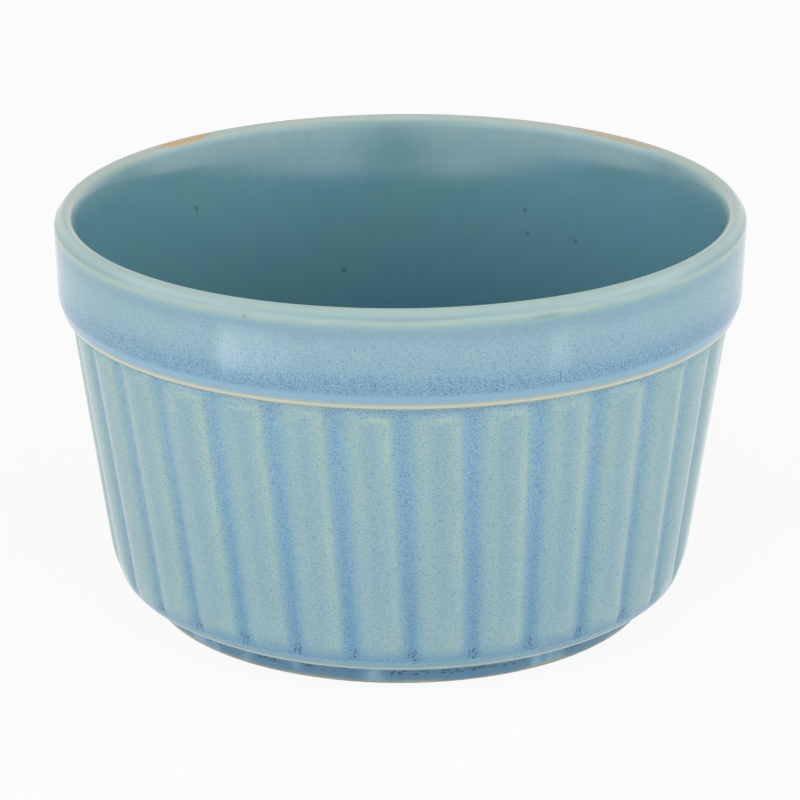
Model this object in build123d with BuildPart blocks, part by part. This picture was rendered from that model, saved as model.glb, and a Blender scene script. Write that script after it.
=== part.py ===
"""Fluted stoneware ramekin: the fired clay body, its glaze coat and the glaze inside its foot ring.

The origin is on the table at the centre of the foot ring, and +Z goes up the axis. The middle of one
groove lies on the -Y side. The named sizes are those of the finished piece, over the glaze, and the clay
lies inside them.
"""
from build123d import *
from math import acos, atan, cos, degrees, sin
import os

os.makedirs("parts", exist_ok=True)

# Overall size, and the glaze, which draws thin over a crisp edge
rim_radius = 45.0
rim_height = 53.5
glaze_thickness = 0.45
glaze_over_edges = 0.2

# Lip: how far its corners stand in from the rim, and down from the top
lip_width = 2.35
lip_inner_drop = 0.2
lip_inner_round = 0.5
lip_crown_setback = 1.1
lip_crown_round = 0.8
lip_shoulder_drop = 1.3
lip_shoulder_round = 1.1

# Rim band, down to its crisp lower edge
band_draft = 0.25
band_foot_drop = 11.0
band_foot_round = 3.0
band_edge_setback = 0.85
band_flare_height = 1.75

# Ring groove between the band and the flutes
ring_groove_slope = 0.5
ring_groove_width = 0.65

# Fluted wall: ribs left standing between round-bottomed grooves, which run out flush at both ends
flute_head_setback = 1.9
flute_head_ease = 0.5
wall_spread = 4.3
flute_foot_ease = 1.0
flute_count = 32
flute_depth = 0.6
flute_floor_round = 1.15
flute_lip_round = 0.7
runout_clearance = 0.02
runout_length = 0.8

# Base: the crisp edge, and the shoulder up to the base band
base_edge_setback = 2.8
base_edge_height = 3.2
shoulder_rise = 1.0
shoulder_round = 1.6
base_band_width = 1.8

# Foot ring, wiped clean of glaze before the firing
foot_setback = 2.2
foot_draft = 0.3
foot_edge_round = 0.4
foot_ring_width = 3.2
neck_drop = 0.9
bare_foot_height = 0.5
recess_height = 1.6
recess_lean = 0.6
recess_round = 0.9

# Inside of the bowl, which opens a little more above a soft break
bowl_break_setback = 4.25
bowl_break_drop = 9.5
bowl_break_round = 90.0
wall_thickness = 4.2
floor_thickness = 4.0
floor_round = 9.0

# Places that follow from the sizes
band_foot_height = rim_height - band_foot_drop
band_edge_height = band_foot_height - band_flare_height
ring_groove_top = band_edge_height - ring_groove_slope
ring_groove_foot = ring_groove_top - ring_groove_width
flute_head_radius = rim_radius - flute_head_setback
flute_head_height = ring_groove_foot - flute_head_ease
flute_foot_radius = flute_head_radius - wall_spread
shoulder_height = base_edge_height + shoulder_rise
base_band_height = shoulder_height + base_band_width
flute_foot_height = base_band_height + flute_foot_ease
wall_slope = wall_spread / (flute_head_height - flute_foot_height)
wall_lean = atan(wall_slope)
base_edge_radius = flute_foot_radius - base_edge_setback
foot_radius = base_edge_radius - foot_setback
recess_radius = foot_radius - foot_ring_width
floor_radius = flute_foot_radius - wall_thickness
floor_height = recess_height + floor_thickness


def groove_floor_radius(height):
    """How far from the axis the floors of the grooves lie at a height."""
    crest_radius = flute_foot_radius + (height - flute_foot_height) * wall_slope
    return crest_radius - flute_depth / cos(wall_lean)


def half_section(glazed):
    """Half section of the vessel, from the middle of its underside round to the middle of its floor.

    The clay lies the glaze thickness inside the finished surface, but stands on the table just the same.
    Its corners are crisp but for the foot and the floor, and the melt rounds them.
    """
    inset = 0 if glazed else glaze_thickness
    edge_inset = 0 if glazed else glaze_over_edges

    def melted(round_radius):
        return round_radius if glazed else 0

    shoulder_radius = groove_floor_radius(shoulder_height) - runout_clearance
    base_band_radius = groove_floor_radius(base_band_height) - runout_clearance
    ring_groove_radius = groove_floor_radius(ring_groove_foot) - runout_clearance
    corners = [
        ((0, recess_height + inset), 0),
        ((recess_radius - recess_lean + inset, recess_height + inset), melted(recess_round)),
        ((recess_radius + inset, 0), 0),
        ((foot_radius - inset, 0), foot_edge_round - melted(foot_edge_round)),
        ((foot_radius + foot_draft - inset, base_edge_height - neck_drop + inset), 0),
        ((base_edge_radius - edge_inset, base_edge_height + edge_inset), 0),
        ((shoulder_radius - inset, shoulder_height + edge_inset), melted(shoulder_round)),
        ((base_band_radius - inset, base_band_height), 0),
        ((flute_foot_radius - inset, flute_foot_height), 0),
        ((flute_head_radius - inset, flute_head_height), 0),
        ((ring_groove_radius - inset, ring_groove_foot), 0),
        ((ring_groove_radius - inset, ring_groove_top + inset), 0),
        ((rim_radius - band_edge_setback - edge_inset, band_edge_height + edge_inset), 0),
        ((rim_radius - band_draft - inset, band_foot_height), melted(band_foot_round)),
        ((rim_radius - inset, rim_height - lip_shoulder_drop), melted(lip_shoulder_round)),
        ((rim_radius - lip_crown_setback, rim_height - inset), melted(lip_crown_round)),
        ((rim_radius - lip_width + inset, rim_height - lip_inner_drop - inset), melted(lip_inner_round)),
        ((rim_radius - bowl_break_setback + inset, rim_height - bowl_break_drop), bowl_break_round),
        ((floor_radius + inset, floor_height - inset), floor_round + inset),
        ((0, floor_height - inset), 0),
    ]
    with BuildSketch(Plane.XZ) as section:
        with BuildLine():
            FilletPolyline(*[point for point, _ in corners], radius=[turn for _, turn in corners], close=True)
        make_face()
    return section.sketch


def flute_groove(glazed):
    """Cutter for one groove, run up the wall into the ring groove.

    In the clay it is a plain round-nosed cut that leaves crisp arrises. Over the melt its floor is tighter,
    and runs out over a round lip on each side.
    """
    straight_up = 90
    straight_down = 270
    floor_centre = (0, flute_floor_round)
    centres_apart = flute_floor_round + flute_lip_round
    flank = acos((centres_apart - flute_depth) / centres_apart)
    flank_turn = degrees(flank)
    lip_centre = (centres_apart * sin(flank), flute_depth - flute_lip_round)
    clear_level = flute_depth + flute_floor_round
    runout_height = base_band_height - runout_length
    start = Plane(
        origin=(0, -groove_floor_radius(runout_height), runout_height),
        x_dir=(-1, 0, 0),
        z_dir=(0, -sin(wall_lean), cos(wall_lean)),
    )
    with BuildPart() as groove:
        with BuildSketch(start):
            if glazed:
                with BuildLine():
                    CenterArc(floor_centre, flute_floor_round, straight_down - flank_turn, 2 * flank_turn)
                    lip = CenterArc(lip_centre, flute_lip_round, straight_up, flank_turn)
                    side = Polyline(lip @ 0, (lip_centre[0], clear_level), (0, clear_level))
                    mirror([lip, side], about=Plane.YZ)
                make_face()
            else:
                with Locations(floor_centre):
                    Circle(flute_floor_round + glaze_thickness)
        extrude(amount=(ring_groove_foot - runout_height) / cos(wall_lean))
    return groove.part


# Stoneware body: turned, with one groove cut and repeated round the wall
with BuildPart() as stoneware_body:
    add(half_section(glazed=False))
    revolve(axis=Axis.Z)
    with PolarLocations(0, flute_count):
        add(flute_groove(glazed=False), mode=Mode.SUBTRACT)

# Finished outer form, the melt and the clay together
with BuildPart() as glazed_form:
    add(half_section(glazed=True))
    revolve(axis=Axis.Z)
    with PolarLocations(0, flute_count):
        add(flute_groove(glazed=True), mode=Mode.SUBTRACT)

# The melt alone, once the foot ring has been wiped: the coat and, apart from it, the patch in the recess
with BuildPart() as melt:
    add(glazed_form.part)
    add(stoneware_body.part, mode=Mode.SUBTRACT)
    Cylinder(rim_radius, bare_foot_height, align=(Align.CENTER, Align.CENTER, Align.MIN), mode=Mode.SUBTRACT)

with BuildPart() as glaze_coat:
    add(melt.solids().sort_by(SortBy.VOLUME)[-1])

with BuildPart() as underside_glaze:
    add(melt.solids().sort_by(SortBy.VOLUME)[0])

stoneware_body.part.label = "stoneware_body"
glaze_coat.part.label = "glaze_coat"
underside_glaze.part.label = "underside_glaze"
export_step(stoneware_body.part, "parts/stoneware_body.step")
export_step(glaze_coat.part, "parts/glaze_coat.step")
export_step(underside_glaze.part, "parts/underside_glaze.step")
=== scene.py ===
"""Looks of the fluted stoneware ramekin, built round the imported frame.

Sizes are in millimetres until a mesh is made. The outlines repeat the half section of the frame, and add what
the hand and the kiln leave: ribs rounded right across by the melt, flutes that lean a little and are spaced
unevenly, a rim that sits a shade askew, walls that ripple by a hair, and glaze that pools in the grooves and
draws thin over every edge.
"""
from math import ceil, cos, pi, radians, sin, tan

import bpy
import numpy as np
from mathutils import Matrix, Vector


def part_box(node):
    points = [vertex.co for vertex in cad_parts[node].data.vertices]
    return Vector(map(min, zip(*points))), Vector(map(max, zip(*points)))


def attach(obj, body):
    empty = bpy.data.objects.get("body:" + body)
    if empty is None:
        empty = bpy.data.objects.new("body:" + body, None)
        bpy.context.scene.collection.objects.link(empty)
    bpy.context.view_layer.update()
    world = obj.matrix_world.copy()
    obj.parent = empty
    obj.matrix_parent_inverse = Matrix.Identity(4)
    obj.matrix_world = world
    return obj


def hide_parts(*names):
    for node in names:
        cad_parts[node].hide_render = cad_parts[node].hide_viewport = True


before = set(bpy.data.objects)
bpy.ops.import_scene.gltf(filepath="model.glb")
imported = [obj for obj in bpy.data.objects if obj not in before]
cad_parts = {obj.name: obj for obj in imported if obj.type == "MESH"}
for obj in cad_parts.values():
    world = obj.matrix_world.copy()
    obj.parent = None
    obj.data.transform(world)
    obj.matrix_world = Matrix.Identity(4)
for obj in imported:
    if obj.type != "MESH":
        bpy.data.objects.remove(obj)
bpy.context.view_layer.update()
bpy.context.scene.view_settings.view_transform = "Standard"

MM = 0.001
random = np.random.default_rng(7)

# The two driving sizes, from the frame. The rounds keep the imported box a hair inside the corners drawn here.
rim_round_loss = 0.011
crown_round_loss = 0.061
coat_low, coat_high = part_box("glaze_coat")
rim_radius = coat_high[0] / MM + rim_round_loss
rim_height = coat_high[2] / MM + crown_round_loss

# Lip and band, over the glaze. The lip turns softly into the bowl, over two places below its inner corner.
# The softness of a turn is how many times lip_inner_round it measures.
lip_inner_radius = rim_radius - 2.05
lip_inner_height = rim_height - 0.25
lip_turn_radius = rim_radius - 2.68
lip_turn_height = rim_height - 1.15
lip_foot_radius = rim_radius - 3.3
lip_foot_height = rim_height - 3.15
lip_foot_round = 20.0
lip_crown_radius = rim_radius - 1.1
lip_shoulder_height = rim_height - 1.3
lip_inner_round = 0.5
lip_inner_softness = 2.0
lip_turn_softness = 8.0
lip_crown_round = 0.8
lip_shoulder_round = 1.1
band_foot_radius = rim_radius - 0.25
band_foot_height = rim_height - 11.0
band_edge_radius = band_foot_radius - 0.6
band_edge_height = band_foot_height - 1.88
band_foot_round = 3.0
edge_round = 0.3
ring_groove_radius = rim_radius - 2.46
ring_groove_top = band_foot_height - 2.25
ring_groove_foot = ring_groove_top - 0.65

# Base and foot
base_band_radius = rim_radius - 6.96
base_band_height = 6.0
shoulder_radius = base_band_radius - 0.24
shoulder_height = 4.2
shoulder_round = 1.5
base_edge_radius = shoulder_radius - 1.6
base_edge_height = 3.05
foot_radius = base_edge_radius - 2.4
foot_ring_width = 3.2
foot_edge_round = 0.4
neck_radius = foot_radius + 0.3
neck_height = 2.3
neck_round = 0.6
recess_height = 1.6
recess_lean = 0.6
recess_round = 0.9

# Inside of the bowl, which opens a little more above a soft break
bowl_break_radius = rim_radius - 4.6
bowl_break_height = rim_height - 9.5
bowl_break_round = 90.0
floor_radius = foot_radius + 0.8
floor_height = 5.6
floor_round = 9.0

# Glaze: its thickness, how thin it draws, and the height at which it was wiped off
glaze_thickness = 0.45
glaze_over_edges = 0.2
glaze_at_foot = 0.16
wiped_height = 0.4
wiped_wander = 0.12

# Flutes: ribs raised over the level of the groove floors, and rolled softly into them by the melt
flute_count = 32
flute_depth = 0.6
flute_floor_round = 1.0
flute_lip_round = 8.0
groove_half_width = 1.05
rib_head_height = 39.45
rib_foot_height = 6.05
rib_head_ease = 1.8
rib_foot_ease = 0.6
rib_corner_round = 1.0
rib_end_wander = 0.25

# What the hand left: the lean of the flutes, their spacing, as seen from the front or at random, the tilt of
# the rim to the right and to the back, and the ripple of the walls
flute_lean = radians(0.057)
level_height = 22.5
front_shifts = (-0.1, 0.1, 0.5, 0.3, -0.3, -0.5, -0.3, -0.2, -0.2, 0.1, 0.6)
spacing_wander = 0.3
rim_tilt_right = 0.3
rim_tilt_back = 0.35
rim_tilt_foot = 42.0
rim_tilt_reach = 10.0
bowl_ripple = 0.02
bowl_ripple_drop = 9.0
band_ripple = 0.012
band_ripple_drop = 6.0

# Distances of the mesh's columns from the middle of a groove, out to the middle of a rib, and the number of
# columns of the patch underneath
rib_middle = pi * (ring_groove_radius + base_band_radius) / 2 / flute_count
fine_columns = (0.0, 0.27, 0.56, 0.88, 1.22, 1.57, 1.95, 2.35, 2.8, 3.3, rib_middle)
plain_columns = (0.0, 0.5, 1.1, 1.9, 2.9, rib_middle)
patch_columns = 240

# Marks of the kiln, each with its angle from the front, its run, its half length and its half width
toasted_spots = ((radians(-137.5), -0.3, 5.6, 1.3), (radians(134.0), -0.5, 9.0, 0.8))
drip_marks = ((radians(21.1), 2.15, 2.0, 0.3), (radians(-26.1), 2.1, 0.4, 0.3))
pinholes = (
    (radians(-137.0), -10.5, 0.4, 0.4),
    (radians(-169.7), -22.5, 0.45, 0.45),
    (radians(152.0), -12.9, 0.35, 0.35),
    (radians(151.0), -16.2, 0.35, 0.35),
    (radians(139.6), -16.0, 0.35, 0.35),
)


def eased(value, low, high):
    """0 below low, 1 above high, and a smooth step between."""
    share = np.clip((value - low) / (high - low), 0.0, 1.0)
    return share * share * (3.0 - 2.0 * share)


def hump(value, middle, half_width):
    """1 at the middle, falling smoothly to nearly 0 at twice the half width."""
    return np.exp(-(((value - middle) / half_width) ** 2))


def ripple(angle, first_wave, waves, seed, along=0.0):
    """A smooth wander round the axis, mostly between -1 and 1, whose waves drift along another measure."""
    draw = np.random.default_rng(seed)
    total = np.zeros_like(angle)
    for wave in range(first_wave, first_wave + waves):
        drift = draw.uniform(-1.0, 1.0) * along
        total += draw.uniform(0.4, 1.0) * np.sin(wave * angle + draw.uniform(0.0, 2 * pi) + drift)
    return total / np.sqrt(waves)


class Corner:
    """A corner of an outline, its round, and how far apart the rows lie on the way to it."""

    def __init__(self, name, radius, height, turn=0.0, spacing=1.0):
        self.name = name
        self.at = np.array((radius, height))
        self.turn = turn
        self.spacing = spacing


class Outline:
    """Rows along a rounded outline: their places, how far along it they lie, and the rows of its corners."""

    arc_step = radians(19.0)

    def __init__(self, corners):
        points = [corners[0].at]
        self.rows = {corners[0].name: 0}
        for before, here, after in zip(corners, corners[1:], corners[2:] + [None]):
            arc = self.round_at(before, here, after)
            start = points[-1]
            run = arc[0] - start
            steps = max(1, round(float(np.hypot(*run)) / here.spacing))
            points += [start + run * step / steps for step in range(1, steps + 1)]
            self.rows[here.name] = len(points) - 1 + len(arc) // 2
            points += arc[1:]
        self.radius, self.height = np.array(points).T
        self.run = np.concatenate(((0.0,), np.cumsum(np.hypot(np.diff(self.radius), np.diff(self.height)))))

    def round_at(self, before, here, after):
        """Points of the round at a corner, or the corner alone."""
        if not here.turn or after is None:
            return [here.at]
        back = (before.at - here.at) / np.hypot(*(before.at - here.at))
        ahead = (after.at - here.at) / np.hypot(*(after.at - here.at))
        half = np.arccos(back @ ahead) / 2
        centre = here.at + (back + ahead) / np.hypot(*(back + ahead)) * here.turn / sin(half)
        start = here.at + back * here.turn / tan(half) - centre
        end = here.at + ahead * here.turn / tan(half) - centre
        turned = pi - 2 * half
        steps = max(2, ceil(turned / self.arc_step))
        return [
            centre + (start * sin((1 - share) * turned) + end * sin(share * turned)) / sin(turned)
            for share in np.linspace(0.0, 1.0, steps + 1)
        ]

    def run_at(self, name):
        """How far along the outline a corner lies."""
        return self.run[self.rows[name]]


class Flutes:
    """Where the grooves lie round the wall, and the form of the ribs between them."""

    def __init__(self):
        shifts = random.uniform(-spacing_wander, spacing_wander, flute_count)
        for place, shift in enumerate(front_shifts):
            shifts[(place - len(front_shifts) // 2) % flute_count] = shift
        grooves = 2 * pi * np.arange(flute_count) / flute_count + np.radians(shifts)
        self.grooves = np.append(grooves, grooves[0] + 2 * pi)
        self.heads = rib_head_height + random.uniform(-rib_end_wander, rib_end_wander, flute_count)
        self.feet = rib_foot_height + random.uniform(-rib_end_wander, rib_end_wander, flute_count)

    def columns(self, steps):
        """Angle, flute and share of the way across the flute for each column of a mesh."""
        half = np.array(steps) / rib_middle / 2
        shares = np.concatenate((half, 1.0 - half[-2:0:-1]))
        flute = np.repeat(np.arange(flute_count), len(shares))
        share = np.tile(shares, flute_count)
        return self.grooves[flute] + share * (self.grooves[flute + 1] - self.grooves[flute]), flute, share

    def into_rib(self, radius, height, flute, share):
        """How far a place lies in from the edge of its rib, and how much nearer the rib's left edge is.

        A rib ends short at its head, and fades out over a longer run at its foot.
        """
        pitch = radius * (self.grooves[flute + 1] - self.grooves[flute])
        left = share * pitch - groove_half_width
        right = (1.0 - share) * pitch - groove_half_width
        head_end = (self.heads[flute] - height) * rib_head_ease
        foot_end = (height - self.feet[flute]) * rib_foot_ease
        end = np.minimum(head_end, foot_end)
        side_gap = rib_corner_round - np.minimum(left, right)
        end_gap = rib_corner_round - end
        past_corner = np.hypot(np.maximum(side_gap, 0.0), np.maximum(end_gap, 0.0))
        within = np.minimum(np.maximum(side_gap, end_gap), 0.0)
        return rib_corner_round - past_corner - within, right - left

    def relief(self, into):
        """Height over the groove floors: a round floor that turns over a round lip to the flat crest."""
        centres_apart = flute_floor_round + flute_lip_round
        flank = np.arccos((centres_apart - flute_depth) / centres_apart)
        lip_at = centres_apart * sin(flank)
        across = np.clip(into + groove_half_width, 0.0, lip_at)
        under_floor = np.sqrt(np.maximum(flute_floor_round**2 - across**2, 0.0))
        floor = flute_floor_round - under_floor
        over_lip = np.sqrt(np.maximum(flute_lip_round**2 - (lip_at - across) ** 2, 0.0))
        lip = flute_depth - flute_lip_round + over_lip
        return np.where(across < flute_floor_round * sin(flank), floor, lip)

    def leaning(self, angle, height):
        """A column's angle at a height, with the lean of the flutes."""
        return angle + flute_lean * (level_height - np.clip(height, rib_foot_height, ring_groove_top))


flutes = Flutes()
wall_slope = (ring_groove_radius - base_band_radius) / (ring_groove_foot - base_band_height)
wall_out = np.array((1.0, -wall_slope)) / np.hypot(1.0, wall_slope)
rib_ends_reach = 2.5
rib_feet_start = base_band_height - 0.5
rib_heads_end = ring_groove_foot - 0.1


def wall_radius(height):
    """Radius of the groove floors at a height."""
    return base_band_radius + wall_slope * (height - base_band_height)


def corner_maker(prefix, spread):
    """A short way to make corners: the prefix leads their names, and spread scales how far apart rows lie."""

    def corner(name, radius, height, turn, spacing):
        return Corner(prefix + name, radius, height, turn, spacing * spread)

    return corner


def outside(inset, edge_inset, foot_inset, spread, prefix=""):
    """Corners of the outside from above the foot up to the lip, crisp where they lie under the glaze."""
    melted = 0.0 if inset else 1.0
    wall_foot = rib_feet_start + rib_ends_reach
    wall_head = rib_heads_end - rib_ends_reach
    lip_inner_turn = lip_inner_softness * (lip_inner_round - inset)
    edge_turn = edge_round * melted
    neck_at = neck_radius - (inset + foot_inset) / 2
    shoulder_at = shoulder_radius - inset
    base_edge_at = base_edge_radius - edge_inset
    band_edge_at = band_edge_radius - edge_inset
    corner = corner_maker(prefix, spread)
    return [
        corner("neck", neck_at, neck_height + inset / 2, neck_round * melted, 0.8),
        corner("base_edge", base_edge_at, base_edge_height + edge_inset, edge_turn, 0.6),
        corner("shoulder", shoulder_at, shoulder_height + edge_inset, shoulder_round * melted, 0.6),
        corner("rib_feet", wall_radius(rib_feet_start) - inset, rib_feet_start, 0.0, 0.4),
        corner("wall_foot", wall_radius(wall_foot) - inset, wall_foot, 0.0, 0.25),
        corner("wall_head", wall_radius(wall_head) - inset, wall_head, 0.0, 3.7),
        corner("rib_heads", wall_radius(rib_heads_end) - inset, rib_heads_end, 0.0, 0.25),
        corner("ring_groove", ring_groove_radius - inset, ring_groove_top + inset, edge_turn, 0.35),
        corner("band_edge", band_edge_at, band_edge_height + edge_inset, edge_turn, 0.5),
        corner("band_foot", band_foot_radius - inset, band_foot_height, band_foot_round * melted, 0.5),
        corner("lip_shoulder", rim_radius - inset, lip_shoulder_height, lip_shoulder_round - inset, 1.5),
        corner("lip_crown", lip_crown_radius, rim_height - inset, lip_crown_round - inset, 0.5),
        corner("lip_inner", lip_inner_radius + inset, lip_inner_height - inset, lip_inner_turn, 0.5),
    ]


def bowl(inset, spread, prefix=""):
    """Corners of the inside below the lip to the middle of the floor."""
    lip_turn = lip_turn_softness * (lip_inner_round - inset)
    corner = corner_maker(prefix, spread)
    return [
        corner("lip_turn", lip_turn_radius + inset, lip_turn_height - inset, lip_turn, 1.0),
        corner("lip_foot", lip_foot_radius + inset, lip_foot_height, lip_foot_round, 1.0),
        corner("bowl_break", bowl_break_radius + inset, bowl_break_height, bowl_break_round, 1.4),
        corner("floor_corner", floor_radius + inset, floor_height - inset, floor_round, 3.2),
        corner("floor_middle", 0.0, floor_height - inset, 0.0, 6.0),
    ]


def backwards(corners):
    """The same corners from the other end, each with the row spacing of the run that now leads to it."""
    spacings = [corner.spacing for corner in corners[1:]] + [corners[-1].spacing]
    for corner, spacing in zip(corners, spacings):
        corner.spacing = spacing
    return corners[::-1]


def fluted(outline, steps, outer):
    """Radius, height and angle of every place on a fluted piece, and where it lies in its rib.

    outer tells the rows of the outside, on which the flutes lie.
    """
    angle, flute, share = flutes.columns(steps)
    radius = outline.radius[:, None] + np.zeros(len(angle))
    height = outline.height[:, None] + np.zeros(len(angle))
    into, to_left = flutes.into_rib(radius, height, flute, share)
    wall = outer & (outline.height > shoulder_height) & (outline.height < band_edge_height)
    relief = np.where(wall[:, None], flutes.relief(into), 0.0)
    leaning = flutes.leaning(angle, height)
    into = np.where(wall[:, None], into, -groove_half_width)
    in_bowl = eased(outline.height, floor_height, floor_height + floor_round)
    bowl_wander = ripple(leaning, first_wave=3, waves=9, seed=17, along=height / bowl_ripple_drop)
    on_band = eased(outline.height, band_edge_height, band_foot_height)
    band_wander = ripple(leaning, first_wave=4, waves=12, seed=23, along=height / band_ripple_drop)
    bowl_wave = bowl_ripple * in_bowl[:, None] * bowl_wander
    band_wave = band_ripple * on_band[:, None] * band_wander
    wave = np.where(outer[:, None], band_wave, bowl_wave)
    return radius + relief * wall_out[0] + wave, height + relief * wall_out[1], leaning, into, to_left


def turned_piece(name, radius, height, angle, marks):
    """A closed mesh from rows round the axis, of which the first and last lie on it.

    Each mark is a value for every place, kept on the mesh for its material.
    """
    rows, count = radius.shape
    x = radius * np.sin(angle)
    y = -radius * np.cos(angle)
    askew = (rim_tilt_right * x + rim_tilt_back * y) / rim_radius
    z = height + askew * eased(height, rim_tilt_foot, rim_tilt_foot + rim_tilt_reach)

    def flat(values):
        return np.concatenate(((values[0].mean(),), values[1:-1].ravel(), (values[-1].mean(),)))

    places = np.stack((flat(x), flat(y), flat(z)), axis=1) * MM
    ring = 1 + np.arange((rows - 2) * count).reshape(rows - 2, count)
    beside = np.roll(ring, -1, axis=1)
    quads = np.stack((ring[:-1], beside[:-1], beside[1:], ring[1:]), axis=-1).reshape(-1, 4)
    first = np.stack((np.zeros(count, int), beside[0], ring[0]), axis=-1)
    last = np.stack((np.full(count, len(places) - 1), ring[-1], beside[-1]), axis=-1)
    loops = np.concatenate((quads.ravel(), first.ravel(), last.ravel()))
    sizes = np.concatenate((np.full(len(quads), 4), np.full(2 * count, 3)))
    mesh = bpy.data.meshes.new(name)
    mesh.vertices.add(len(places))
    mesh.vertices.foreach_set("co", places.ravel())
    mesh.loops.add(len(loops))
    mesh.loops.foreach_set("vertex_index", loops)
    mesh.polygons.add(len(sizes))
    mesh.polygons.foreach_set("loop_start", np.cumsum(sizes) - sizes)
    mesh.polygons.foreach_set("use_smooth", np.ones(len(sizes), bool))
    mesh.update(calc_edges=True)
    mesh.validate()
    for mark, values in marks.items():
        mesh.attributes.new(mark, "FLOAT", "POINT").data.foreach_set("value", flat(values).astype(np.float32))
    piece = bpy.data.objects.new(name, mesh)
    bpy.context.scene.collection.objects.link(piece)
    return piece


def glaze_coat():
    """The coat of glaze: its back against the clay, and its face from the foot over the lip to the floor."""
    back_outside = outside(glaze_thickness, glaze_over_edges, glaze_at_foot, 9.0, "back_")
    back = backwards(back_outside + bowl(glaze_thickness, 4.0, "back_"))
    foot = [
        Corner("back_foot", foot_radius - glaze_at_foot, wiped_height, 0.0, 2.0),
        Corner("foot", foot_radius, wiped_height, 0.1, 0.2),
    ]
    outline = Outline(back + foot + outside(0.0, 0.0, 0.0, 1.0) + bowl(0.0, 1.0))
    row = np.arange(len(outline.run))
    outer = (row > outline.rows["back_lip_crown"]) & (row < outline.rows["lip_crown"])
    radius, height, angle, into, to_left = fluted(outline, fine_columns, outer)
    at_foot = hump(outline.height, wiped_height, 0.5) * outer
    height += at_foot[:, None] * wiped_wander * ripple(angle, first_wave=3, waves=24, seed=11)
    run = (outline.run_at("lip_crown") - outline.run)[:, None] + np.zeros_like(radius)
    marks = {"run": run, "into_rib": into, "to_left": to_left}
    piece = turned_piece("reactive_glaze_coat", radius, height, angle, marks)
    places = {name: outline.run_at("lip_crown") - outline.run_at(name) for name in outline.rows}
    return piece, places


def clay_body():
    """The fired clay under the glaze, bare at the very foot."""
    inner_foot = foot_radius - foot_ring_width
    under_height = recess_height + glaze_thickness
    below = [
        Corner("underside", 0.0, under_height),
        Corner("recess", inner_foot - recess_lean + glaze_thickness, under_height, edge_round, 6.0),
        Corner("inner_foot", inner_foot + glaze_at_foot, 0.0, edge_round, 0.3),
        Corner("outer_foot", foot_radius - glaze_at_foot, 0.0, foot_edge_round, 0.4),
    ]
    above = outside(glaze_thickness, glaze_over_edges, glaze_at_foot, 2.0) + bowl(glaze_thickness, 2.0)
    outline = Outline(below + above)
    row = np.arange(len(outline.run))
    outer = (row > outline.rows["outer_foot"]) & (row < outline.rows["lip_crown"])
    radius, height, angle, _, _ = fluted(outline, plain_columns, outer)
    return turned_piece("clay_body", radius, height, angle, {})


def underside_glaze():
    """The patch of glaze in the recess inside the foot ring."""
    inner_foot = foot_radius - foot_ring_width
    back_height = recess_height + glaze_thickness
    outline = Outline([
        Corner("face_middle", 0.0, recess_height),
        Corner("face_corner", inner_foot - recess_lean, recess_height, recess_round, 3.0),
        Corner("face_edge", inner_foot, wiped_height + 0.1, 0.1, 0.2),
        Corner("back_edge", inner_foot + glaze_at_foot, wiped_height, 0.0, 0.3),
        Corner("back_corner", inner_foot - recess_lean + glaze_thickness, back_height, 0.0, 0.6),
        Corner("back_middle", 0.0, back_height, 0.0, 9.0),
    ])
    around = np.linspace(0.0, 2 * pi, patch_columns, endpoint=False)
    angle = around + np.zeros((len(outline.run), 1))
    radius = outline.radius[:, None] + np.zeros_like(angle)
    at_edge = hump(outline.height, wiped_height, 0.4)
    wander = 0.5 + ripple(angle, first_wave=3, waves=20, seed=5)
    height = outline.height[:, None] + at_edge[:, None] * wiped_wander * wander
    return turned_piece("underside_glaze_patch", radius, height, angle, {})


def shade(red, green, blue):
    """A colour as a screen shows it, from 0 to 255, as the linear colour that a material takes."""
    screen = np.array((red, green, blue)) / 255.0
    linear = np.where(screen <= 0.04045, screen / 12.92, ((screen + 0.055) / 1.055) ** 2.4)
    return (*linear.tolist(), 1.0)


class Nodes:
    """A node tree that is built by a few short calls."""

    def __init__(self, tree):
        self.tree = tree

    def feed(self, socket, value):
        """Sets or links an input."""
        if isinstance(value, bpy.types.NodeSocket):
            self.tree.links.new(value, socket)
        else:
            socket.default_value = value

    def add(self, kind, inputs=None, **settings):
        """A node, with its settings, and with its inputs set or linked."""
        node = self.tree.nodes.new(kind)
        for name, value in settings.items():
            setattr(node, name, value)
        for name, value in (inputs or {}).items():
            self.feed(node.inputs[name], value)
        return node

    def math(self, operation, first, second=0.0, third=0.0):
        return self.add("ShaderNodeMath", {0: first, 1: second, 2: third}, operation=operation).outputs[0]

    def product(self, value, *factors):
        """value, multiplied by each of the factors."""
        for factor in factors:
            value = self.math("MULTIPLY", value, factor)
        return value

    def nudged(self, value, wander, amount):
        """value, moved by up to the amount by a grain that lies round a half."""
        return self.math("ADD", value, self.product(self.math("SUBTRACT", wander, 0.5), 2.0 * amount))

    def ease(self, value, low, high, start=0.0, end=1.0):
        """A smooth step from start at low to end at high."""
        inputs = {"Value": value, "From Min": low, "From Max": high, "To Min": start, "To Max": end}
        return self.add("ShaderNodeMapRange", inputs, interpolation_type="SMOOTHSTEP").outputs["Result"]

    def between(self, value, start, end):
        """A smooth step from start where the value is 0 to end where it is 1."""
        return self.ease(value, 0.0, 1.0, start, end)

    def blend(self, mask, under, over, most=1.0):
        """under, with over laid on it by a mask, and no more of it than most."""
        inputs = {"Factor": self.product(mask, most), 6: under, 7: over}
        return self.add("ShaderNodeMix", inputs, data_type="RGBA").outputs[2]

    def mark(self, name):
        """A value kept on the mesh."""
        return self.add("ShaderNodeAttribute", attribute_name=name).outputs["Fac"]

    def use(self, tree, **inputs):
        """The mask of a shared effect."""
        named = {name.capitalize(): value for name, value in inputs.items()}
        node = self.add("ShaderNodeGroup", node_tree=tree)
        for name, value in named.items():
            self.feed(node.inputs[name], value)
        return node.outputs["Mask"]


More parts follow.
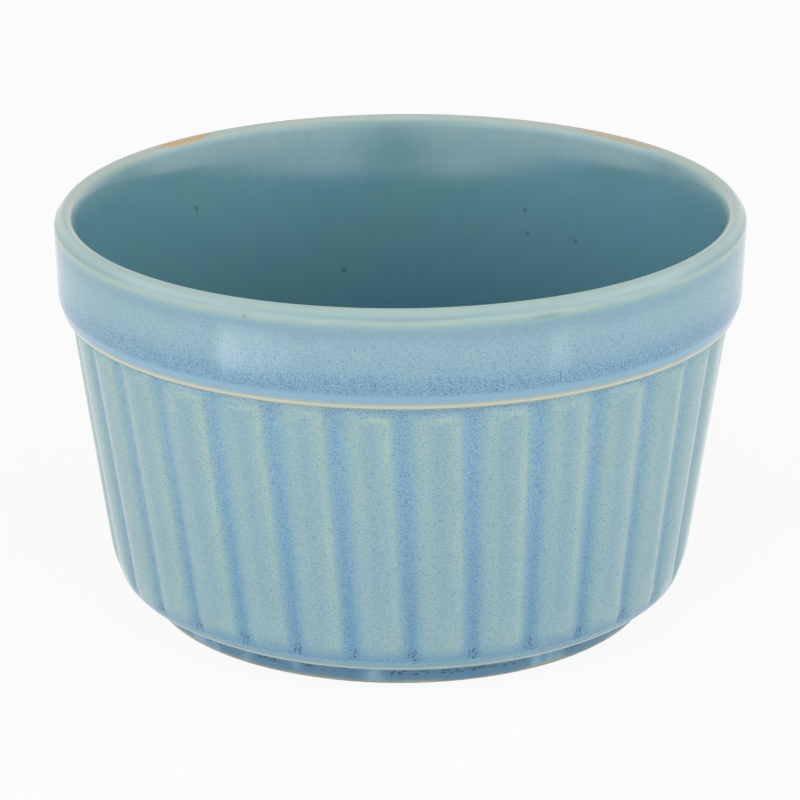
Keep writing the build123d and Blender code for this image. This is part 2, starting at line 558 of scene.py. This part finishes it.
def effect(name, inputs):
    """An empty shader node group with named inputs and a mask as output, with its nodes and its two ends."""
    tree = bpy.data.node_groups.new(name, "ShaderNodeTree")
    for label, value in inputs.items():
        socket = tree.interface.new_socket(label, in_out="INPUT", socket_type="NodeSocketFloat")
        socket.default_value = value
    tree.interface.new_socket("Mask", in_out="OUTPUT", socket_type="NodeSocketFloat")
    nodes = Nodes(tree)
    given = nodes.add("NodeGroupInput").outputs
    result = nodes.add("NodeGroupOutput").inputs["Mask"]
    return nodes, given, result


def make_seam():
    """A soft line at one place along a run."""
    nodes, given, result = effect("Seam", {"Run": 0.0, "Place": 0.0, "Width": 0.3, "Fade": 0.2})
    away = nodes.math("ABSOLUTE", nodes.math("SUBTRACT", given["Run"], given["Place"]))
    half = nodes.product(given["Width"], 0.5)
    end = nodes.math("ADD", half, given["Fade"])
    nodes.feed(result, nodes.ease(away, half, end, 1.0, 0.0))
    return nodes.tree


def make_spot():
    """A soft spot at one place round the piece and along its run."""
    places = {"Around": 0.0, "Run": 0.0, "At_around": 0.0, "At_run": 0.0}
    nodes, given, result = effect("Spot", {**places, "Half_length": 1.0, "Half_width": 1.0})
    around = nodes.math("SUBTRACT", given["Around"], given["At_around"])
    across = nodes.math("DIVIDE", around, given["Half_length"])
    along = nodes.math("SUBTRACT", given["Run"], given["At_run"])
    down = nodes.math("DIVIDE", along, given["Half_width"])
    away = nodes.math("ADD", nodes.product(across, across), nodes.product(down, down))
    nodes.feed(result, nodes.ease(away, 1.6, 0.3))
    return nodes.tree


def make_grain():
    """Soft grain of a size in millimetres, drawn out downwards by Streak, spread over 0 to 1."""
    nodes, given, result = effect("Grain", {"Size": 1.0, "Streak": 1.0, "Detail": 1.0, "Seed": 0.0})
    place = nodes.add("ShaderNodeTexCoord").outputs["Object"]
    shrink = nodes.math("DIVIDE", 1.0, given["Streak"])
    stretch = nodes.add("ShaderNodeCombineXYZ", {"X": 1.0, "Y": 1.0, "Z": shrink}).outputs[0]
    drawn = nodes.add("ShaderNodeVectorMath", {0: place, 1: stretch}, operation="MULTIPLY").outputs[0]
    scale = nodes.math("DIVIDE", 1.0 / MM, given["Size"])
    wave = {"Vector": drawn, "W": given["Seed"], "Scale": scale, "Detail": given["Detail"], "Roughness": 0.55}
    noise = nodes.add("ShaderNodeTexNoise", noise_dimensions="4D")
    for name, value in wave.items():
        nodes.feed(noise.inputs[name], value)
    spread = {"Value": noise.outputs["Fac"], "From Min": 0.25, "From Max": 0.75}
    nodes.feed(result, nodes.add("ShaderNodeMapRange", spread).outputs["Result"])
    return nodes.tree


def make_specks():
    """Specks out of a grain: the more the density, from 0 to 1, the more of it they cover."""
    nodes, given, result = effect("Specks", {"Grain": 0.5, "Density": 0.2, "Fade": 0.12})
    start = nodes.math("MULTIPLY_ADD", given["Density"], -0.6, 0.95)
    end = nodes.math("ADD", start, given["Fade"])
    nodes.feed(result, nodes.ease(given["Grain"], start, end))
    return nodes.tree


# Colours of the glaze and the clay
rib_teal = shade(142, 178, 187)
rib_teal_low = shade(137, 173, 183)
rib_green = shade(150, 182, 178)
# rib_edge: pale thin glaze; it also paints a highlight on rib edges and light in the ring groove
rib_edge = shade(176, 200, 184)
rib_blue = shade(128, 168, 190)
pool_blue = shade(138, 177, 201)
pool_blue_low = shade(112, 157, 186)
speck_blue = shade(76, 126, 164)
speck_navy = shade(38, 78, 104)
# cream: glaze broken over an edge; on the band's edge and the lip's inner edge it also paints a highlight
cream = shade(200, 202, 186)
edge_tan = shade(172, 184, 164)
base_cream = shade(180, 194, 168)
# band_top, a darker teal, paints the shade under the lip's shoulder at the top of the band
band_top = shade(134, 170, 182)
band_teal = shade(148, 182, 190)
band_low = shade(134, 172, 192)
cove_blue = shade(138, 177, 200)
lip_pale = shade(160, 189, 190)
lip_break = shade(178, 196, 178)
lip_dark = shade(122, 154, 152)
foot_blue = shade(88, 136, 164)
foot_olive = shade(160, 166, 148)
ochre = shade(208, 168, 108)
# From bowl_top at the lip to bowl_deep deep down: partly the glaze, partly painted light and painted shade
bowl_top = shade(126, 165, 167)
bowl_teal = shade(101, 150, 161)
bowl_blue = shade(88, 144, 184)
bowl_green = shade(98, 144, 132)
bowl_deep = shade(80, 127, 142)
clay_buff = shade(172, 180, 172)
clay_tan = shade(168, 158, 140)


def new_material(name):
    """A material with its node tree emptied but for its output."""
    material = bpy.data.materials.new(name)
    material.use_nodes = True
    material.node_tree.nodes.clear()
    nodes = Nodes(material.node_tree)
    surface = nodes.add("ShaderNodeOutputMaterial").inputs["Surface"]
    return material, nodes, surface


# Fades of the coat, each from one run to another. Runs are measured from the top of the lip down the outside,
# and are below nought down the inside.
lip_to_band = (1.8, 3.2)
lip_to_bowl = (-1.2, -2.6)
outside_to_inside = (0.2, -0.6)
crown_fade = (0.4, 1.4)
# band_top_fade lays painted shade on the top of the band, under the lip's shoulder
band_top_fade = (5.5, 3.0)
band_low_fade = (6.0, 10.8)
band_speck_fade = (3.5, 7.0)
speckle_start = (7.5, 10.0)
speckle_end = (12.0, 11.2)
band_to_cove = (11.1, 11.8)
# The bowl's fades are partly the glaze, partly painted light near the lip and painted shade deeper down
bowl_top_fade = (-6.0, -2.0)
bowl_deep_fade = (-8.0, -34.0)
bowl_floor_fade = (-42.0, -52.0)

# Fades across the flutes: from the edge of a rib out into the groove, from its right half to its left, and
# from its middle to the groove. And the fade from the front of the piece to its two sides.
pool_fade = (0.65, -1.2)
right_half_fade = (1.0, -1.0)
groove_fade = (5.6, 6.8)
side_start = 20.0
side_end = 38.0

# Depth of the fine unevenness of the glaze and of the bare clay
glaze_bump = 0.05
clay_bump = 0.06


class CoatMaterial:
    """The glaze coat: mottled teal and green, blue in the pools, cream over the edges; some light and shade is
    painted in.
    """

    def __init__(self, seam, spot, grain, specks, places):
        self.material, self.nodes, self.surface = new_material("reactive_glaze")
        self.seam = seam
        self.spot = spot
        self.grain = grain
        self.specks = specks
        self.places = places
        nodes = self.nodes
        self.run = nodes.mark("run")
        self.into = nodes.mark("into_rib")
        self.to_left = nodes.mark("to_left")
        place = nodes.add("ShaderNodeTexCoord").outputs["Object"]
        apart = nodes.add("ShaderNodeSeparateXYZ", {0: place}).outputs
        turn = nodes.math("ARCTAN2", apart["X"], nodes.product(apart["Y"], -1.0))
        self.around = nodes.product(turn, rim_radius)
        self.at_side = nodes.ease(nodes.math("ABSOLUTE", apart["X"]), side_start * MM, side_end * MM)
        self.cloud = nodes.use(grain, size=5.0, streak=2.5, detail=2.0, seed=1.0)
        self.blotch = nodes.use(grain, size=1.1, streak=1.4, detail=2.0, seed=3.0)
        self.fine = nodes.use(grain, size=0.16, streak=1.1, detail=1.0, seed=5.0)
        self.coarse = nodes.use(grain, size=0.26, streak=1.0, detail=1.0, seed=6.0)
        self.build()

    def line(self, name, shift, width, fade, wander):
        """A soft line round the piece, at a named place on its outline."""
        run = self.nodes.nudged(self.run, self.blotch, wander)
        return self.nodes.use(self.seam, run=run, place=self.places[name] + shift, width=width, fade=fade)

    def spots(self, marks):
        """Soft spots at the places of some marks of the kiln."""
        total = 0.0
        for turn, run, half_length, half_width in marks:
            size = {"half_length": half_length, "half_width": half_width}
            at = {"at_around": turn * rim_radius, "at_run": run}
            one = self.nodes.use(self.spot, around=self.around, run=self.run, **at, **size)
            total = self.nodes.math("MAXIMUM", one, total)
        return total

    def window(self, start, end, fade):
        """1 between two runs, fading out beyond them."""
        into = self.nodes.ease(self.run, start - fade, start)
        return self.nodes.product(into, self.nodes.ease(self.run, end + fade, end))

    def mottled(self, colour, density, share):
        """colour, with fine soft specks of a darker blue."""
        specks = self.nodes.use(self.specks, grain=self.fine, density=density, fade=0.5)
        return self.nodes.blend(specks, colour, speck_blue, share)

    def thin_glaze_and_highlight(self, down):
        """Thin glaze beside a groove plus a painted highlight: most on a rib's right, less further down."""
        nodes = self.nodes
        right = nodes.use(self.seam, run=self.into, place=0.9, width=0.3, fade=0.8)
        left = nodes.use(self.seam, run=self.into, place=1.35, width=0.5, fade=1.1)
        on_right = nodes.product(right, nodes.ease(self.to_left, *right_half_fade), 0.75)
        thin = nodes.math("MAXIMUM", on_right, nodes.product(left, 0.35))
        high_up = nodes.between(down, 1.0, 0.5)
        varied = nodes.between(self.cloud, 0.5, 1.0)
        in_front = nodes.between(self.at_side, 1.0, 0.65)
        return nodes.product(thin, high_up, varied, in_front)

    def pooled(self, at_head):
        """Glaze pools in the grooves, less at their ends; painted reflection thins them out at the sides."""
        nodes = self.nodes
        # At the sides the pools are drawn narrower and fainter: painted reflection of light glancing off the
        # flanks
        into = nodes.math("MULTIPLY_ADD", self.at_side, 0.4, nodes.nudged(self.into, self.blotch, 0.25))
        in_front = nodes.between(self.at_side, 1.0, 0.8)
        at_base = nodes.ease(self.run, self.places["rib_feet"] + 0.2, self.places["shoulder"])
        off_ends = nodes.between(nodes.math("MAXIMUM", at_head, at_base), 1.0, 0.2)
        return nodes.product(nodes.ease(into, *pool_fade), in_front, off_ends)

    def clusters(self):
        """Dark specks gathered at the low ends of the grooves."""
        nodes = self.nodes
        ends = self.window(self.places["rib_feet"] - 0.9, self.places["rib_feet"] + 0.3, 0.8)
        in_groove = nodes.ease(nodes.math("ABSOLUTE", self.to_left), *groove_fade)
        return nodes.use(self.specks, grain=self.coarse, density=nodes.product(ends, in_groove, 0.8))

    def wall(self):
        """Ribs, greener at the sides and at thin glaze and painted edge highlights; blue pools in grooves."""
        nodes = self.nodes
        places = self.places
        down = nodes.ease(self.run, places["ring_groove"], places["shoulder"])
        rib = nodes.blend(down, rib_teal, rib_teal_low)
        rib = nodes.blend(self.cloud, rib, rib_green, 0.35)
        rib = nodes.blend(self.blotch, rib, rib_blue, 0.3)
        rib = nodes.blend(self.at_side, rib, rib_green, 0.35)
        # Pale rib edges: thin glaze and a painted highlight
        rib = nodes.blend(self.thin_glaze_and_highlight(down), rib, rib_edge)
        pool = nodes.blend(down, pool_blue, pool_blue_low)
        at_head = nodes.ease(self.run, places["rib_heads"] + 0.1, places["ring_groove"])
        pooled = self.pooled(at_head)
        # Pale towards the ring groove: partly glaze at the rib ends, partly painted light lifting the band
        # edge's shade
        coloured = nodes.blend(at_head, nodes.blend(pooled, rib, pool), rib_edge, 0.75)
        mottled = self.mottled(coloured, nodes.between(pooled, 0.75, 0.95), 0.85)
        return nodes.blend(self.clusters(), mottled, speck_navy, 0.75)

    def band(self):
        """The band below the lip: painted shade at its top, bluer and more specked towards its foot."""
        nodes = self.nodes
        run = nodes.nudged(self.run, self.cloud, 0.6)
        band = nodes.blend(self.blotch, band_teal, rib_blue, 0.25)
        # Painted shade under the lip's shoulder
        band = nodes.blend(nodes.ease(run, *band_top_fade), band, band_top)
        band = nodes.blend(nodes.ease(run, *band_low_fade), band, band_low)
        speckled = nodes.product(nodes.ease(run, *speckle_start), nodes.ease(run, *speckle_end))
        share = nodes.math("MAXIMUM", nodes.ease(run, *band_speck_fade, 0.5, 0.85), speckled)
        band = self.mottled(band, nodes.between(speckled, 0.8, 1.0), share)
        return nodes.blend(nodes.ease(self.run, *band_to_cove), band, cove_blue)

    def lip(self):
        """The lip, with the lines where the glaze breaks over its shoulder and gathers again."""
        nodes = self.nodes
        varied = nodes.between(self.cloud, 0.35, 0.9)
        lip = nodes.blend(varied, lip_pale, lip_break, 0.4)
        lip = nodes.blend(nodes.ease(self.run, *crown_fade, 0.0, 0.5), lip, band_top)
        break_line = self.line("lip_shoulder", shift=0.45, width=0.2, fade=0.5, wander=0.06)
        lip = nodes.blend(nodes.product(break_line, varied), lip, lip_break, 0.7)
        gather_line = self.line("lip_shoulder", shift=-0.05, width=0.1, fade=0.4, wander=0.06)
        return nodes.blend(nodes.product(gather_line, varied), lip, lip_dark, 0.5)

    def foot(self):
        """The foot below the base edge: steel blue, with navy dashes at its head, olive where it thins."""
        nodes = self.nodes
        neck = self.places["neck"]
        foot = nodes.blend(nodes.ease(self.cloud, 0.5, 0.9), foot_blue, pool_blue)
        low = nodes.ease(self.run, self.places["foot"] - 0.5, self.places["foot"])
        foot = nodes.blend(nodes.product(low, self.cloud), foot, foot_olive)
        dashes = nodes.use(self.grain, size=0.42, streak=0.6, detail=2.0, seed=8.0)
        under_neck = self.window(neck + 0.1, neck + 0.8, 0.3)
        gathered = nodes.product(under_neck, nodes.ease(self.cloud, 1.0, 0.3))
        density = nodes.math("MULTIPLY_ADD", gathered, 0.66, 0.08)
        specks = nodes.use(self.specks, grain=dashes, density=density)
        return nodes.blend(specks, foot, speck_navy, 0.85)

    def bowl(self):
        """The inside, darker the deeper, in patches of blue and green, and pooled on the floor."""
        nodes = self.nodes
        patch = nodes.use(self.grain, size=15.0, detail=2.0, seed=9.0)
        green = nodes.use(self.grain, size=24.0, detail=2.0, seed=12.0)
        spot = nodes.use(self.grain, size=2.2, streak=1.3, detail=2.0, seed=10.0)
        streak = nodes.use(self.grain, size=0.9, streak=4.0, detail=2.0, seed=14.0)
        # Darker the deeper: partly thicker glaze, partly painted shade where the bowl hides the light
        bowl = nodes.blend(nodes.ease(self.run, *bowl_deep_fade), bowl_teal, bowl_deep)
        # Lighter near the lip: partly the glaze, partly painted light at the mouth of the bowl
        bowl = nodes.blend(nodes.ease(self.run, *bowl_top_fade), bowl, bowl_top)
        bowl = nodes.blend(patch, bowl, bowl_blue, 0.4)
        bowl = nodes.blend(nodes.ease(green, 0.3, 0.8), bowl, bowl_green, 0.3)
        bowl = nodes.blend(spot, bowl, bowl_green, 0.25)
        bowl = nodes.blend(streak, bowl, bowl_deep, 0.25)
        bowl = nodes.blend(self.fine, bowl, bowl_top, 0.2)
        on_floor = nodes.ease(nodes.nudged(self.run, patch, 2.0), *bowl_floor_fade)
        bowl = nodes.blend(on_floor, bowl, self.mottled(pool_blue_low, 0.8, 0.8), 0.8)
        # A cream line on the lip's inner edge: partly the glaze breaking, partly a painted highlight
        inner_line = self.line("lip_inner", shift=0.1, width=0.5, fade=0.5, wander=0.1)
        lip = nodes.blend(inner_line, lip_pale, cream, 0.5)
        return nodes.blend(nodes.ease(self.run, *lip_to_bowl), lip, bowl)

    def edged(self, colour):
        """colour, with pale lines where glaze breaks over band and base edges, plus a painted band-edge
        highlight.
        """
        nodes = self.nodes
        above_edge = self.line("band_edge", shift=-0.5, width=0.4, fade=0.3, wander=0.06)
        # The cream line on the band's edge: partly the glaze breaking, partly a painted highlight on the crisp
        # edge
        on_edge = self.line("band_edge", shift=-0.1, width=0.6, fade=0.22, wander=0.05)
        on_base = self.line("base_edge", shift=-0.4, width=1.0, fade=0.7, wander=0.15)
        colour = nodes.blend(above_edge, colour, edge_tan, 0.65)
        colour = nodes.blend(on_edge, colour, cream, 0.95)
        return nodes.blend(on_base, colour, base_cream, 0.5)

    def marked(self, colour):
        """colour, with the marks of the kiln, the toasted spot on the right being the paler one."""
        nodes = self.nodes
        toasted = nodes.ease(nodes.nudged(self.spots(toasted_spots), self.blotch, 0.4), 0.25, 1.1)
        paler_right = nodes.ease(self.around, -side_start, side_start, 0.85, 0.5)
        colour = nodes.blend(nodes.product(toasted, paler_right), colour, ochre)
        colour = nodes.blend(self.spots(drip_marks), colour, lip_dark, 0.5)
        return nodes.blend(self.spots(pinholes), colour, speck_navy, 0.45)

    def build(self):
        """Joins the zones from the lip down to the foot, and the inside, and gives the surface its gloss."""
        nodes = self.nodes
        places = self.places
        on_wall = nodes.ease(self.run, places["band_edge"], places["ring_groove"])
        on_foot = nodes.ease(self.run, places["base_edge"], places["base_edge"] + 0.3)
        outer = nodes.blend(nodes.ease(self.run, *lip_to_band), self.lip(), self.band())
        outer = nodes.blend(on_wall, outer, self.wall())
        outer = self.edged(nodes.blend(on_foot, outer, self.foot()))
        colour = self.marked(nodes.blend(nodes.ease(self.run, *outside_to_inside), outer, self.bowl()))
        uneven = nodes.math("ADD", nodes.product(self.blotch, 0.5), nodes.product(self.fine, 0.5))
        bump = nodes.add("ShaderNodeBump", {"Strength": 0.1, "Distance": glaze_bump * MM, "Height": uneven})
        roughness = nodes.between(self.fine, 0.06, 0.14)
        inputs = {"Base Color": colour, "Roughness": roughness, "Normal": bump.outputs[0], "IOR": 1.5}
        nodes.feed(self.surface, nodes.add("ShaderNodeBsdfPrincipled", inputs).outputs[0])


def underside_material(grain, specks):
    """The same glaze in the recess, thick and dark."""
    material, nodes, surface = new_material("recess_glaze")
    soft = nodes.use(grain, size=9.0, detail=2.0, seed=21.0)
    fine = nodes.use(grain, size=0.6, detail=1.0, seed=22.0)
    colour = nodes.blend(soft, bowl_teal, bowl_blue)
    dark = nodes.use(specks, grain=fine, density=0.3)
    colour = nodes.blend(dark, colour, speck_navy, 0.6)
    inputs = {"Base Color": colour, "Roughness": nodes.between(fine, 0.18, 0.28)}
    nodes.feed(surface, nodes.add("ShaderNodeBsdfPrincipled", inputs).outputs[0])
    return material


def clay_material(grain, specks):
    """Bare buff stoneware, toasted here and there."""
    material, nodes, surface = new_material("bare_stoneware")
    soft = nodes.use(grain, size=8.0, detail=2.0, seed=33.0)
    fine = nodes.use(grain, size=0.35, detail=2.0, seed=34.0)
    colour = nodes.blend(soft, clay_buff, clay_tan, 0.7)
    dark = nodes.use(specks, grain=fine, density=0.25)
    colour = nodes.blend(dark, colour, clay_tan, 0.5)
    bump = nodes.add("ShaderNodeBump", {"Strength": 0.5, "Distance": clay_bump * MM, "Height": fine})
    roughness = nodes.between(fine, 0.75, 0.9)
    inputs = {"Base Color": colour, "Roughness": roughness, "Normal": bump.outputs[0]}
    nodes.feed(surface, nodes.add("ShaderNodeBsdfPrincipled", inputs).outputs[0])
    return material


def dress(piece, material, node):
    """Gives a piece its material, and puts it in place of its node in the frame."""
    piece.data.materials.append(material)
    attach(piece, "root")
    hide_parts(node)


# Camera: the photograph's angle, distance and field
focal_pixels = 3200.0
frame_pixels = 800.0
sensor_width = 36.0
camera_distance = 426.382
camera_elevation = radians(19.792)
camera_azimuth = radians(-1.75)
target_height = 25.952
centre_shift_pixels = 0.294


def aim(thing, azimuth, elevation, distance):
    """Puts a camera or a lamp at a distance from the middle of the piece, and turns it to face it."""
    level = distance * cos(elevation)
    away = Vector((level * sin(azimuth), -level * cos(azimuth), distance * sin(elevation)))
    thing.location = (Vector((0.0, 0.0, target_height)) + away) * MM
    thing.rotation_euler = (-away).to_track_quat("-Z", "Y").to_euler()


def add_camera():
    """The camera, aimed at a point on the axis."""
    data = bpy.data.cameras.new("camera")
    data.sensor_width = sensor_width
    data.lens = focal_pixels / frame_pixels * sensor_width
    data.shift_x = -centre_shift_pixels / frame_pixels
    camera = bpy.data.objects.new("camera", data)
    aim(camera, camera_azimuth, camera_elevation, camera_distance)
    bpy.context.scene.collection.objects.link(camera)
    bpy.context.scene.camera = camera


def add_softbox(name, azimuth, elevation, distance, width, height, brightness):
    """A rectangular lamp that faces the middle of the piece, brightness times as bright as white."""
    data = bpy.data.lights.new(name, "AREA")
    data.shape = "RECTANGLE"
    data.size = width * MM
    data.size_y = height * MM
    data.energy = brightness * pi * data.size * data.size_y
    lamp = bpy.data.objects.new(name, data)
    aim(lamp, azimuth, elevation, distance)
    bpy.context.scene.collection.objects.link(lamp)


def seen_directly(nodes):
    """1 for what the camera sees, also in a reflection or through glass, and 0 for what lights the piece."""
    ray = nodes.add("ShaderNodeLightPath").outputs
    mirrored = nodes.math("MAXIMUM", ray["Is Glossy Ray"], ray["Is Transmission Ray"])
    return nodes.math("MAXIMUM", ray["Is Camera Ray"], mirrored)


def add_world():
    """A plain white surround: even light on the piece, and white behind it and in its reflections."""
    world = bpy.data.worlds.new("surround")
    world.use_nodes = True
    world.node_tree.nodes.clear()
    nodes = Nodes(world.node_tree)
    fill = nodes.add("ShaderNodeBackground", {"Color": (1.0, 1.0, 1.0, 1.0), "Strength": fill_strength})
    white = nodes.add("ShaderNodeBackground", {"Color": (1.0, 1.0, 1.0, 1.0), "Strength": 1.0})
    seen = seen_directly(nodes)
    both = nodes.add("ShaderNodeMixShader", {0: seen, 1: fill.outputs[0], 2: white.outputs[0]})
    nodes.feed(nodes.add("ShaderNodeOutputWorld").inputs["Surface"], both.outputs[0])
    bpy.context.scene.world = world


def add_floor():
    """A plain pale floor that keeps the shadow of the piece."""
    half = floor_half_size * MM
    mesh = bpy.data.meshes.new("floor")
    corners = [(-half, -half, 0.0), (half, -half, 0.0), (half, half, 0.0), (-half, half, 0.0)]
    mesh.from_pydata(corners, [], [(0, 1, 2, 3)])
    floor = bpy.data.objects.new("floor", mesh)
    bpy.context.scene.collection.objects.link(floor)
    material, nodes, surface = new_material("floor_white")
    paper = nodes.add("ShaderNodeBsdfDiffuse", {"Color": floor_colour})
    glow = nodes.add("ShaderNodeEmission", {"Color": (1.0, 1.0, 1.0, 1.0), "Strength": 1.0})
    seen = nodes.product(seen_directly(nodes), floor_glow_share)
    both = nodes.add("ShaderNodeMixShader", {0: seen, 1: paper.outputs[0], 2: glow.outputs[0]})
    nodes.feed(surface, both.outputs[0])
    mesh.materials.append(material)


# Light: an even surround, on each side of the camera a softbox in steps, so that its edges are soft, and near
# the piece small cards that leave two patches of light on the band, the left one in steps too
fill_strength = 0.36
softbox_steps = 3
softbox_azimuth = radians(52.0)
softbox_turn = radians(6.0)
softbox_elevation = radians(27.0)
softbox_distance = 1300.0
softbox_width = 2700.0
softbox_height = 1000.0
softbox_brightness = 1.6
card_steps = 3
left_card_azimuth = radians(-49.5)
left_card_turn = radians(4.0)
left_card_width = 12.0
left_card_spread = 17.0
left_card_height = 7.5
left_card_brightness = 2.8
right_card_azimuth = radians(41.7)
right_card_width = 12.0
right_card_height = 8.0
right_card_brightness = 1.4
card_elevation = radians(-5.5)
card_distance = 122.0
floor_half_size = 3000.0
floor_glow_share = 0.9
floor_colour = (0.9, 0.9, 0.9, 1.0)

seam = make_seam()
spot = make_spot()
grain = make_grain()
specks = make_specks()
coat, places = glaze_coat()
dress(coat, CoatMaterial(seam, spot, grain, specks, places).material, "glaze_coat")
dress(clay_body(), clay_material(grain, specks), "stoneware_body")
dress(underside_glaze(), underside_material(grain, specks), "underside_glaze")

add_camera()
add_world()
add_floor()
for step in range(softbox_steps):
    turn = softbox_azimuth + softbox_turn * step
    for side, azimuth in (("left", -turn), ("right", turn)):
        size = (softbox_width, softbox_height, softbox_brightness / softbox_steps)
        add_softbox(f"{side}_softbox_{step}", azimuth, softbox_elevation, softbox_distance, *size)

for step in range(card_steps):
    azimuth = left_card_azimuth + left_card_turn * step
    size = (left_card_width + left_card_spread * step, left_card_height, left_card_brightness / card_steps)
    add_softbox(f"left_card_{step}", azimuth, card_elevation, card_distance, *size)

size = (right_card_width, right_card_height, right_card_brightness)
add_softbox("right_card", right_card_azimuth, card_elevation, card_distance, *size)
